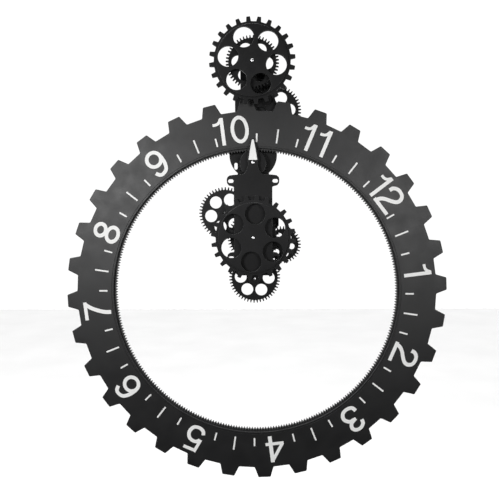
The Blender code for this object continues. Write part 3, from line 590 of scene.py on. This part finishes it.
def show_gear(node, body, centre, steps):
    """Coarse gear with stub teeth, a raised web and six large holes.

    The steps are how far the teeth's back and front stand behind the web's front.
    """
    back, front = heights(node)
    teeth_back, teeth_front = (front - step for step in steps)
    phase = turned(node, centre, SHOW_TIP_R - 0.1, SHOW_TIP_R + 0.1, SHOW_TOOTH_COUNT)
    outline = eased(toothed(SHOW_TOOTH_COUNT, SHOW_ROOT_R, SHOW_TIP_R, SHOW_ROOT_WIDTH,
                            SHOW_TIP_WIDTH, phase, centre), 0.5)
    gear = Moulding()
    gear.wall(outline, teeth_back, teeth_front, 0.2, 0.2)
    gear.wall(circle(centre, SHOW_WEB_R, 120), teeth_front, front, 0.6)
    for hole in hole_ring(node, centre, SHOW_HOLE):
        gear.wall(hole, teeth_back, front, 0.4, 0.4, hole=True)
    gear.wall(circle(centre, HUB_R), back, teeth_back, low_edge=0.3)
    gear.wall(circle(centre, BORE_R, 32), back, front, 0.3, 0.3, hole=True)
    gear.piece(node, body)


def hour_ring():
    """Face plate with a fine groove inside, and the internal gear behind it."""
    back, front = heights("ring_face")
    phase = turned("ring_face", RING, RING_TIP_R - 0.1, RING_TIP_R + 0.1, RING_TOOTH_COUNT)
    face = Moulding()
    face.wall(eased(toothed(RING_TOOTH_COUNT, RING_ROOT_R, RING_TIP_R, RING_ROOT_WIDTH,
                            RING_TIP_WIDTH, phase, RING), 1.3), back, front, 0.6, 0.6)
    face.wall(circle(RING, RING_INNER_R, 360), back, front, 0.4, 0.4, hole=True)
    inner, outer = RING_GROOVE
    face.wall(circle(RING, inner, 360), front - 0.8, front, 0.2)
    face.wall(circle(RING, outer, 360), front - 0.8, front, 0.2, hole=True)
    face.piece("ring_face", "hour_ring", "ring_plastic", (RING_BLACK, BLACK_EDGE))

    back, front = heights("ring_gear")
    pitch = RING_GEAR_TEETH * RING_MODULE / 2
    tip_r = pitch - 0.8 * RING_MODULE
    phase = turned("ring_gear", RING, tip_r - 0.1, tip_r + 0.1, RING_GEAR_TEETH)
    arc_length = math.pi * RING_MODULE
    teeth = toothed(RING_GEAR_TEETH, pitch + 1.4 * RING_MODULE, tip_r, 0.85 * arc_length,
                    0.16 * arc_length, phase, RING)
    gear = Moulding()
    gear.wall(circle(RING, RING_GEAR_OUTER_R, 240), back, front, 0.4, 0.4)
    gear.wall(teeth, back, front, hole=True)
    gear.piece("ring_gear", "hour_ring", "ring_plastic", (RING_BLACK, BLACK_EDGE))


def drive_pinion():
    """Pinion that the ring hangs on, with a flange that keeps the ring in place."""
    back, front = heights("drive_pinion")
    flange_back = heights("ring_face")[0]
    flange_front = front - PINION_HUB_LENGTH
    outline = wheel_outline("drive_pinion", DRIVE, PINION_TEETH, RING_MODULE, RING_PINION_TOOTH)
    pinion = Moulding()
    pinion.wall(outline, back, flange_back, 0.0, 0.2)
    pinion.wall(circle(DRIVE, PINION_FLANGE_R, 72), flange_back, flange_front, 0.9, 0.2)
    pinion.wall(circle(DRIVE, PINION_HUB_R), flange_front, front, 0.3)
    pinion.wall(circle(DRIVE, BORE_R, 32), back, front, 0.2, 0.2, hole=True)
    pinion.piece("drive_pinion", "drive_axle")


def axles():
    """Turned steel shafts with a collar behind the bearing and a domed end in front."""
    for node, body in (("drive_shaft", "drive_axle"), ("top_shaft", "top_axle"),
                       ("lower_shaft", "lower_axle"), ("left_shaft", "left_axle"),
                       ("right_shaft", "right_axle"), ("upper_right_shaft", "upper_right_axle")):
        back, front = heights(node)
        collar_front = heights("movement_case")[1] + COLLAR_LENGTH
        profile = [(COLLAR_R - 0.4, back), (COLLAR_R, back + 0.4), (COLLAR_R, collar_front - 0.3),
                   (COLLAR_R - 0.3, collar_front), (SHAFT_R, collar_front)]
        profile += domed(SHAFT_R, front)
        finish = STEEL if node in BRIGHT_SHAFTS else BLACKENED
        lathe(node + "_fine", body, (finish,), [node], middle(node), profile)
    for node in ("upper_idler_pin", "top_idler_pin", "lower_idler_a_pin", "lower_idler_b_pin"):
        back, front = heights(node)
        profile = [(SHAFT_R - 0.4, back), (SHAFT_R, back + 0.4), (SHAFT_R, front - PIN_HEAD),
                   (COLLAR_R, front - PIN_HEAD)]
        profile += domed(COLLAR_R, front)
        lathe(node + "_fine", "tower", (STEEL,), [node], middle(node), profile)
    back, front = heights("bottom_pin")
    profile = [(SHAFT_R - 0.4, back), (SHAFT_R, back + 0.4)] + domed(SHAFT_R, front)
    lathe("bottom_pin_fine", "tower", (STEEL,), ["bottom_pin"], BOTTOM, profile)


def domed(radius, front, rise=0.6):
    """Profile of a low domed end, up to just short of the axis."""
    angles = [math.pi / 2 * k / 5 for k in range(6)]
    return [(max(radius * math.cos(a), 0.08), front - rise * (1 - math.sin(a))) for a in angles]


# Tower

def face_outline():
    """Front wall of the housing: tower, round bulge, and an arm to each outlying axle."""
    bulge_top = math.degrees(math.acos(FACE_HALF / DISC_R))
    side = FACE_HALF
    points = arc(BOTTOM, BOTTOM_ARM_R, 180, 360, 24)
    points += [(BOTTOM[0] + BOTTOM_ARM_R, TOWER_BOTTOM), (side - CORNER, TOWER_BOTTOM)]
    points += [(side, TOWER_BOTTOM + CORNER), (side, RIGHT[1] - RIGHT_ARM_R)]
    points += arc(RIGHT, RIGHT_ARM_R, -90, 90, 20)
    points += [(side, RIGHT[1] + RIGHT_ARM_R), (side, LOWER_GUSSET[0][1] - CORNER)]
    points += LOWER_GUSSET
    points += [(side, LOWER_GUSSET[-1][1] + CORNER), (side, DISC_FOOT)]
    points += arc(DISC_CENTRE, DISC_R, DISC_LOW_BEARING, bulge_top, 40)
    points += [(side, UPPER_RIGHT[1] - UPPER_RIGHT_ARM_R)]
    points += arc(UPPER_RIGHT, UPPER_RIGHT_ARM_R, -90, 90, 20)
    points += UPPER_GUSSET
    points += arc(TOP, NECK_R, 0, 180, 40)
    points += [(-NECK_R, SHOULDER_HIGH), (-side, SHOULDER_LOW)]
    points += arc(DISC_CENTRE, DISC_R, 180 - bulge_top, 180 - DISC_LOW_BEARING, 40)
    points += [(-side, DISC_FOOT), (-side, LEFT[1] + LEFT_ARM_R)]
    points += arc(LEFT, LEFT_ARM_R, 90, 270, 20)
    points += [(-side, LEFT[1] - LEFT_ARM_R), (-side, TOWER_BOTTOM + CORNER)]
    points += [(CORNER - side, TOWER_BOTTOM), (BOTTOM[0] - BOTTOM_ARM_R, TOWER_BOTTOM)]
    return points


def shell_outline(depth):
    """Rear box of the tower, which the back cover closes."""
    half = WALL_HALF - depth
    neck = NECK_R - 2.0 - depth
    low = TOWER_BOTTOM + 2.0 + depth
    wide = SHOULDER_LOW - CORNER - depth / 2
    narrow = SHOULDER_HIGH - CORNER - depth / 2
    points = [(-half, low), (half, low), (half, wide), (neck, narrow)]
    points += arc(TOP, neck, 0, 180, 40)
    points += [(-neck, narrow), (-half, wide)]
    return points


def tower_housing():
    """Open-backed box with bosses for every axle and posts for the cover screws."""
    back, front = heights("tower_housing")
    wall_inside = front - FACE_WALL
    boss_back = front - BOSS_LENGTH
    housing = Moulding()
    housing.wall(shell_outline(0.0), back, wall_inside)
    housing.wall(shell_outline(SHELL_THICKNESS), back, wall_inside, hole=True)
    housing.wall(face_outline(), wall_inside, front, 0.6, 0.4)
    housing.wall(slot(SLOT_CENTRE, *SLOT_HALF), wall_inside, front, 0.4, hole=True)
    for spot in POST_SPOTS:
        housing.wall(circle(spot, POST_R, 24), back, wall_inside)
        housing.wall(circle(spot, SCREW_HOLE_R, 16), back, POST_HOLE_DEPTH, low_edge=0.2,
                     hole=True)
    bearings = [DRIVE, TOP, LOWER, UPPER_RIGHT, LEFT, RIGHT, BOTTOM]
    bearings += [middle(f"{node}_pin") for node in ("upper_idler", "top_idler", "lower_idler_a",
                                                    "lower_idler_b")]
    for spot in bearings:
        housing.wall(circle(spot, BOSS_R, 32), boss_back, wall_inside, low_edge=0.3)
        housing.wall(circle(spot, BORE_R, 24), boss_back, front, 0.2, 0.2, hole=True)
    for spot in PILLAR_SPOTS:
        housing.wall(circle(spot, SCREW_CLEARANCE_R, 16), wall_inside, front, hole=True)
    housing.piece("tower_housing", "tower")


def ear_outline(drop):
    """Right-hand ear of the front plate, from its top edge round to its bottom edge."""
    line = ((PLATE_HALF, -17.2), (33.5, -18.0), (36.6, -20.5), (37.5, -24.0), (37.1, -29.0),
            (34.5, -32.4), (30.0, -33.4), (PLATE_HALF, -34.4))
    return [(x, z - drop) for x, z in line]


def plate_outline():
    """Front plate: pointer neck on top, four ears, and a tongue down to the bottom axle."""
    right_side = [(2.0, 34.1), (2.7, 33.0), (6.5, 18.0), (8.3, 4.2), (8.1, 3.2), (7.2, 2.2),
                  (7.2, -4.0), (9.2, -10.5), (11.2, -13.8), (14.2, -16.4)]
    right_side += ear_outline(0.0) + ear_outline(LOWER_EAR_DROP)
    right_side += [(PLATE_HALF, PLATE_BOTTOM + CORNER), (PLATE_HALF - CORNER, PLATE_BOTTOM)]
    left_side = [(-x, z) for x, z in reversed(right_side)]
    tongue = [(BOTTOM[0] + TONGUE_R, PLATE_BOTTOM)]
    tongue += arc(BOTTOM, TONGUE_R, 0, -180, 28)
    tongue += [(BOTTOM[0] - TONGUE_R, PLATE_BOTTOM)]
    return right_side + tongue + left_side


def front_plate():
    """Plate with the fixed pointer; pillars on its back stand on the housing."""
    back, front = heights("front_plate")
    plate_back = front - PLATE_THICKNESS
    plate = Moulding()
    plate.wall(eased(plate_outline(), 0.6, 2), plate_back, front, 0.6, 0.3)
    (x, z), half = EAR_SLOT
    for drop in (0.0, LOWER_EAR_DROP):
        for side in (-1, 1):
            plate.wall(slot((side * x, z - drop), *half), plate_back, front, 0.4, 0.2, hole=True)
    for spot in (DRIVE, LOWER, BOTTOM):
        plate.wall(circle(spot, BORE_R, 32), plate_back, front, 0.3, 0.2, hole=True)
    for spot in PILLAR_SPOTS:
        plate.wall(circle(spot, PILLAR_R, 28), back, plate_back, low_edge=0.3)
        plate.wall(circle(spot, SCREW_HOLE_R, 16), back, PILOT_FRONT, low_edge=0.2, hole=True)
    plate.piece("front_plate", "tower")


def back_cover():
    """Flat lid on the wall side with the hanging keyhole and the battery window."""
    back, front = heights("back_cover")
    step = front - 0.6
    cover = Moulding()
    cover.wall(eased(shell_outline(0.0), 1.0, 2), back, front, low_edge=0.5)
    cover.wall(eased(rectangle((BATTERY_X, 0.0), BATTERY_R, BATTERY_HALF + 5.5), 1.5), back, front,
               low_edge=0.3, hole=True)
    cover.wall(circle(KNOB, KNOB_R + 0.8), back, front, low_edge=0.3, hole=True)
    half_angle = math.degrees(math.asin(KEYHOLE_SLOT_HALF / KEYHOLE_HEAD_R))
    keyhole = arc(KEYHOLE_HEAD, KEYHOLE_HEAD_R, 90 + half_angle, 450 - half_angle, 36)
    keyhole += arc((KEYHOLE_HEAD[0], KEYHOLE_TOP), KEYHOLE_SLOT_HALF, 0, 180, 16)
    cover.wall(keyhole, back, front, low_edge=0.3, hole=True)
    for spot in POST_SPOTS:
        cover.wall(circle(spot, SCREW_POCKET_R, 28), back, step, low_edge=0.2, hole=True)
        cover.wall(circle(spot, SCREW_CLEARANCE_R, 20), step, front, hole=True)
    cover.piece("back_cover", "tower")


def cross(centre, reach, half):
    """Outline of a cross recess."""
    corners = [(reach, -half), (reach, half), (half, half), (half, reach), (-half, reach),
               (-half, half), (-reach, half), (-reach, -half), (-half, -half), (-half, -reach),
               (half, -reach), (half, -half)]
    return [(centre[0] + x, centre[1] + z) for x, z in corners]


def screws():
    """Pan-head screws with a cross recess, their heads towards the wall."""
    for i in range(len(POST_SPOTS)):
        screw(f"cover_screw_{i + 1}", POST_SPOTS[i])
    for i in range(len(PILLAR_SPOTS)):
        screw(f"plate_screw_{i + 1}", PILLAR_SPOTS[i])


def screw(node, spot):
    back, front = heights(node)
    head_front = back + (SCREW_HEAD_HEIGHT if node.startswith("cover") else 1.8)
    body = Moulding()
    body.wall(circle(spot, SCREW_HEAD_R, 32), back, head_front, low_edge=0.4)
    body.wall(cross(spot, 1.4, 0.3), back, back + 0.8, hole=True)
    body.wall(circle(spot, SCREW_R, 20), head_front, front, 0.3)
    body.piece(node, "tower", "steel", (ZINC, ZINC))


def movement():
    """Movement case with its battery, contacts and setting knob."""
    back, front = heights("movement_case")
    case = Moulding()
    seam = 29.0
    battery_front = BATTERY_HEIGHT + BATTERY_R + 0.6
    case.wall(eased(rectangle((0.0, 0.0), *CASE_HALF), 2.0), back, front, 0.6, 0.6)
    case.wall(rectangle((BATTERY_X, 0.0), BATTERY_R + 0.6, BATTERY_HALF + 5.5), back, battery_front,
              low_edge=0.4, hole=True)
    case.wall(circle(KNOB, 1.8, 24), back, 16.0, low_edge=0.3, hole=True)
    case.wall(circle(DRIVE, COLLAR_R + 0.3, 32), seam, front, 0.3, hole=True)
    case.piece("movement_case", "tower", "case_plastic", (CASE, CASE))

    low = -BATTERY_HALF
    shoulder = BATTERY_HALF - 1.2
    lathe("battery_fine", "tower", (BATTERY,), ["battery"],
          (BATTERY_X, BATTERY_HEIGHT),
          ((BATTERY_R - 1.2, low), (BATTERY_R - 0.9, low + 0.3), (BATTERY_R, low + 0.5),
           (BATTERY_R, shoulder - 0.6), (BATTERY_R - 0.6, shoulder), (2.7, shoulder),
           (2.7, BATTERY_HALF - 0.4), (2.3, BATTERY_HALF)), upright=True)

    turns = 4.5
    low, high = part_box("battery_spring")
    steps = 110
    line = []
    for k in range(steps + 1):
        t = k / steps
        radius = (4.9 - 2.2 * t) * MM
        angle = 2 * math.pi * turns * t
        line.append((BATTERY_X * MM + radius * math.cos(angle),
                     -BATTERY_HEIGHT * MM + radius * math.sin(angle),
                     low.z + 0.0006 + (high.z - low.z - 0.0010) * t))
    coil("battery_spring_fine", line)

    low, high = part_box("battery_contact")
    centre = ((low.x + high.x) / 2 / MM, (low.z + high.z) / 2 / MM)
    contact = Moulding()
    half_x = (high.x - low.x) / 2 / MM
    contact.wall(eased(rectangle(centre, half_x, 0.4), 0.2, 2), -high.y / MM, -low.y / MM, 0.2, 0.2)
    contact.piece("battery_contact", "tower", "steel", (ZINC, ZINC))

    back, front = heights("setting_knob")
    knob = Moulding()
    grip = eased(toothed(24, KNOB_R - 0.6, KNOB_R, 1.1, 0.6, 0.0, KNOB), 0.15, 2)
    knob.wall(grip, back, back + 5.0, 0.3, 0.5)
    knob.wall(cross(KNOB, 3.2, 0.5), back, back + 0.7, hole=True)
    knob.wall(circle(KNOB, 1.6, 24), back + 5.0, front, 0.2)
    knob.piece("setting_knob", "setting_knob", "case_plastic", (CASE, CASE))


def coil(name, line, radius=0.0004):
    """Round wire along a line of points, in metres."""
    curve = bpy.data.curves.new(name, "CURVE")
    curve.dimensions = "3D"
    curve.bevel_depth = radius
    curve.bevel_resolution = 3
    curve.use_fill_caps = True
    curve.materials.append(ZINC)
    spline = curve.splines.new("POLY")
    spline.points.add(len(line) - 1)
    for point, spot in zip(spline.points, line):
        point.co = (*spot, 1.0)
    spline.use_smooth = True
    wire = bpy.data.objects.new(name, curve)
    bpy.context.scene.collection.objects.link(wire)
    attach(wire, "tower")
    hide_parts("battery_spring")


# Print

def ribbon(line, width=NUMERAL_STROKE):
    """A line of constant width as four-sided pieces; the line closes if its ends meet."""
    closed = math.dist(line[0], line[-1]) < 1e-6
    sides = []
    for i in range(len(line)):
        before = line[i - 1] if i > 0 else (line[-2] if closed else line[0])
        after = line[i + 1] if i < len(line) - 1 else (line[1] if closed else line[-1])
        along = Vector((after[0] - before[0], after[1] - before[1])).normalized()
        across = Vector((-along.y, along.x)) * width / 2
        sides.append((tuple(Vector(line[i]) + across), tuple(Vector(line[i]) - across)))
    return [(a[0], a[1], b[1], b[0]) for a, b in zip(sides, sides[1:])]


def digit_strokes(digit):
    """A plain sans-serif digit as strokes, one unit tall, centred across its width."""
    edge = NUMERAL_STROKE / 2
    top = 1.0 - edge
    if digit == 0:
        return ribbon(ellipse((0.0, 0.5), 0.265, 0.5 - edge))
    if digit == 1:
        flag = curved([(-0.25, 0.765), (-0.12, 0.775), (-0.02, 0.83), (0.05, 0.96)])
        return (ribbon([(0.085, 0.0), (0.085, 1.0)]) + ribbon(flag, 0.1)
                + [((0.01, 0.88), (0.08, 0.88), (0.08, 1.0), (0.045, 1.0))])
    if digit == 2:
        bow = curved([(-0.25, 0.67), (-0.225, 0.81), (-0.12, 0.91), (0.01, top), (0.16, 0.89),
                      (0.235, 0.75), (0.2, 0.6), (0.06, 0.47), (-0.12, 0.34), (-0.225, 0.2),
                      (-0.26, 0.04)])
        return ribbon(bow) + ribbon([(-0.345, edge), (0.34, edge)])
    if digit == 3:
        upper = curved([(-0.235, 0.7), (-0.19, 0.85), (-0.03, top), (0.14, 0.89), (0.2, 0.755),
                        (0.13, 0.61), (-0.02, 0.555)])
        lower = curved([(-0.02, 0.535), (0.15, 0.5), (0.25, 0.305), (0.16, 0.115), (-0.02, edge),
                        (-0.2, 0.13), (-0.255, 0.3)])
        return ribbon(upper) + ribbon(lower) + ribbon([(-0.1, 0.545), (0.0, 0.545)])
    if digit == 4:
        return (ribbon([(0.125, 0.0), (0.125, 1.0)]) + ribbon([(-0.32, 0.3), (0.3, 0.3)], 0.115)
                + ribbon([(-0.285, 0.3), (0.13, 0.955)], 0.11))
    if digit == 5:
        bowl = curved([(-0.205, 0.5), (-0.1, 0.6), (0.04, 0.61), (0.19, 0.53), (0.255, 0.34),
                       (0.18, 0.13), (0.0, edge), (-0.18, 0.12), (-0.255, 0.27)])
        return (ribbon(bowl) + ribbon([(-0.17, 1.0), (-0.235, 0.475)], 0.11)
                + ribbon([(-0.21, top), (0.26, top)], 0.12))
    if digit in (6, 9):
        stem = curved([(0.235, 0.76), (0.15, 0.9), (0.02, top), (-0.15, 0.86), (-0.24, 0.65),
                       (-0.26, 0.45), (-0.255, 0.34)])
        strokes = ribbon(stem) + ribbon(ellipse((0.0, 0.325), 0.25, 0.325 - edge))
        if digit == 6:
            return strokes
        return [tuple((-x, 1.0 - z) for x, z in piece) for piece in strokes]
    if digit == 7:
        stem = curved([(0.235, 0.93), (0.09, 0.72), (-0.03, 0.45), (-0.1, 0.2), (-0.12, 0.0)])
        return ribbon(stem) + ribbon([(-0.3, top), (0.3, top)], 0.125)
    return (ribbon(ellipse((0.0, 0.745), 0.205, 0.255 - edge))
            + ribbon(ellipse((0.0, 0.275), 0.25, 0.275 - edge)))


def width_of(strokes):
    """Left and right limits of a digit."""
    across = [x for piece in strokes for x, z in piece]
    return (min(across), max(across))


def numeral_strokes(hour):
    """The hour's digits side by side, centred."""
    digits = []
    for figure in str(hour):
        wide = DIGIT_WIDTH.get(int(figure), 1.0)
        digits.append([tuple((x * wide, z) for x, z in piece)
                       for piece in digit_strokes(int(figure))])
    placed = []
    right_end = 0.0
    for i in range(len(digits)):
        left, right = width_of(digits[i])
        shift = right_end + (DIGIT_GAP[hour] if i else 0.0) - left
        placed += [tuple((x + shift, z) for x, z in piece) for piece in digits[i]]
        right_end = shift + right
    return [tuple((x - right_end / 2, z) for x, z in piece) for piece in placed]


def add_print(mesh, polygons, place, base):
    """Add a thin raised print: the polygons' joint area, set in place by a function."""
    points = []
    faces = []
    for polygon in polygons:
        ordered = list(polygon)
        if signed_area(ordered) < 0:
            ordered.reverse()
        faces.append(list(range(len(points), len(points) + len(ordered))))
        points += [Vector(point) for point in ordered]
    found = delaunay_2d_cdt(points, [], faces, 1, 1e-5)
    triangles = [face for face, origin in zip(found[2], found[5]) if origin]
    spots = [place(point.x, point.y) for point in found[0]]
    low = {}
    high = {}
    for i in {i for face in triangles for i in face}:
        x, z = spots[i]
        low[i] = mesh.verts.new((x * MM, -(base + PRINT_GAP) * MM, z * MM))
        high[i] = mesh.verts.new((x * MM, -(base + PRINT_HEIGHT) * MM, z * MM))
    sides = {(a, b) for face in triangles for a, b in zip(face, face[1:] + face[:1])}
    for face in triangles:
        mesh.faces.new([high[i] for i in face])
        mesh.faces.new([low[i] for i in reversed(face)])
    for a, b in sorted(sides):
        if (b, a) not in sides:
            mesh.faces.new((low[a], low[b], high[b], high[a]))


def radial_place(bearing):
    """Places flat points on the ring with their up side outwards, at a bearing."""
    turn = math.radians(bearing - 90.0)

    def place(x, z):
        return (RING[0] + x * math.cos(turn) - z * math.sin(turn),
                RING[1] + x * math.sin(turn) + z * math.cos(turn))

    return place


def ring_print():
    """Hour numbers, and ticks at each quarter between them."""
    base = heights("ring_face")[1]
    numerals = bmesh.new()
    ticks = bmesh.new()
    for hour in range(1, 13):
        bearing = TEN_BEARING - 30.0 * (hour - 10)
        shift = NUMERAL_SHIFT.get(hour, 0.0)
        base_r = NUMERAL_BASE_R - NUMERAL_DROP.get(hour, 0.0)
        strokes = [[(x * NUMERAL_HEIGHT + shift, base_r + z * NUMERAL_HEIGHT)
                    for x, z in piece] for piece in numeral_strokes(hour)]
        add_print(numerals, strokes, radial_place(bearing), base)
        for quarter in (1, 2, 3):
            end_r = LONG_TICK_R if quarter == 2 else SHORT_TICK_R
            half = TICK_WIDTH / 2
            bar = [(-half, TICK_BASE_R), (half, TICK_BASE_R), (half, end_r), (-half, end_r)]
            tick = TICK_BEARING - 30.0 * (hour - 10) - 7.5 * quarter
            add_print(ticks, [eased(bar, 0.6, 3)], radial_place(tick), base)
    finish_piece("hour_numbers", numerals, "hour_ring", (WHITE,), [])
    finish_piece("quarter_ticks", ticks, "hour_ring", (WHITE,), [])


def pointer_print():
    """White arrow on the pointer, inside a thin black border."""
    base = heights("front_plate")[1]
    right_side = [(1.0, 32.4), (1.5, 31.8), (4.0, 18.0), (6.1, 4.4), (5.8, 3.7)]
    arrow = right_side + [(-x, z) for x, z in reversed(right_side)]
    mesh = bmesh.new()
    add_print(mesh, [eased(arrow, 0.5, 3)], lambda x, z: (x, z), base)
    finish_piece("pointer_arrow", mesh, "tower", (WHITE,), [])


# Stage

def studio():
    """Pale floor and backdrop, two soft boxes in front, one above, and light from behind."""
    bpy.ops.mesh.primitive_plane_add(size=9.0, location=(0.0, 0.0, -0.95))
    floor = bpy.context.object
    floor.name = "studio_floor"
    floor.data.materials.append(surface("pale_floor", (0.80, 0.80, 0.80), (0.84, 0.84, 0.84),
                                        (0.7, 0.8), 60.0, 0.0002, cloud=3.0))
    floor.visible_glossy = False
    floor.visible_diffuse = False

    world = bpy.data.worlds.new("studio_world")
    bpy.context.scene.world = world
    world.use_nodes = True
    tree = world.node_tree
    place = add_node(tree, "ShaderNodeTexCoord")
    split = add_node(tree, "ShaderNodeSeparateXYZ")
    tree.links.new(place.outputs["Generated"], split.inputs["Vector"])
    ramp = add_node(tree, "ShaderNodeValToRGB")
    ramp.color_ramp.elements[0].position = 0.52
    ramp.color_ramp.elements[0].color = (0.04, 0.04, 0.04, 1.0)
    ramp.color_ramp.elements[1].position = 0.72
    ramp.color_ramp.elements[1].color = (1.0, 1.0, 1.0, 1.0)
    depth = spread(tree, split.outputs["Y"], 0.0, 1.0, -1.0, 1.0)
    tree.links.new(depth, ramp.inputs["Fac"])
    seen = add_node(tree, "ShaderNodeLightPath")
    backdrop = add_node(tree, "ShaderNodeMix", data_type="RGBA")
    tree.links.new(seen.outputs["Is Camera Ray"], backdrop.inputs["Factor"])
    tree.links.new(ramp.outputs["Color"], backdrop.inputs[6])
    backdrop.inputs[7].default_value = (1.0, 1.0, 1.0, 1.0)
    tree.links.new(backdrop.outputs[2], tree.nodes["Background"].inputs["Color"])
    tree.nodes["Background"].inputs["Strength"].default_value = 1.05

    aim = Vector((0.0, 0.0, -0.15))
    for name, spot, size, power in (("top_softbox", (-1.1, -0.6, 1.4), 0.9, 30.0),
                                    ("left_softbox", (-0.53, -1.25, 0.05), 0.32, 7.0),
                                    ("right_softbox", (0.52, -1.25, 0.0), 0.45, 4.6)):
        lamp = bpy.data.lights.new(name, "AREA")
        lamp.shape = "SQUARE"
        lamp.size = size
        lamp.energy = power
        light = bpy.data.objects.new(name, lamp)
        light.location = spot
        light.rotation_euler = (aim - Vector(spot)).to_track_quat("-Z", "Y").to_euler()
        bpy.context.scene.collection.objects.link(light)
    lamp = bpy.data.lights.new("overhead", "SUN")
    lamp.energy = 2.2
    lamp.angle = math.radians(30.0)
    light = bpy.data.objects.new("overhead", lamp)
    light.location = (0.0, 1.0, 2.0)
    bpy.context.scene.collection.objects.link(light)
    bpy.context.scene.view_settings.view_transform = "Standard"


def camera():
    """Camera a little above the ring's centre, level with the lower gear."""
    lens = bpy.data.cameras.new("camera")
    lens.lens = 43.29
    lens.sensor_width = 36.0
    eye = bpy.data.objects.new("camera", lens)
    eye.location = (0.0151, -0.9299, -0.0710)
    eye.rotation_mode = "QUATERNION"
    look = Vector((-0.0240, 0.9978, -0.0613)).to_track_quat("-Z", "Y")
    eye.rotation_quaternion = look @ Quaternion((0.0, 0.0, 1.0), math.radians(-0.33))
    bpy.context.scene.collection.objects.link(eye)
    bpy.context.scene.camera = eye


camera()
studio()
hour_ring()
ring_print()
drive_pinion()
fine_wheels()
show_gear("top_gear", "top_axle", TOP, TOP_GEAR_STEPS)
show_gear("lower_gear", "lower_axle", LOWER, LOWER_GEAR_STEPS)
axles()
tower_housing()
front_plate()
pointer_print()
back_cover()
screws()
movement()
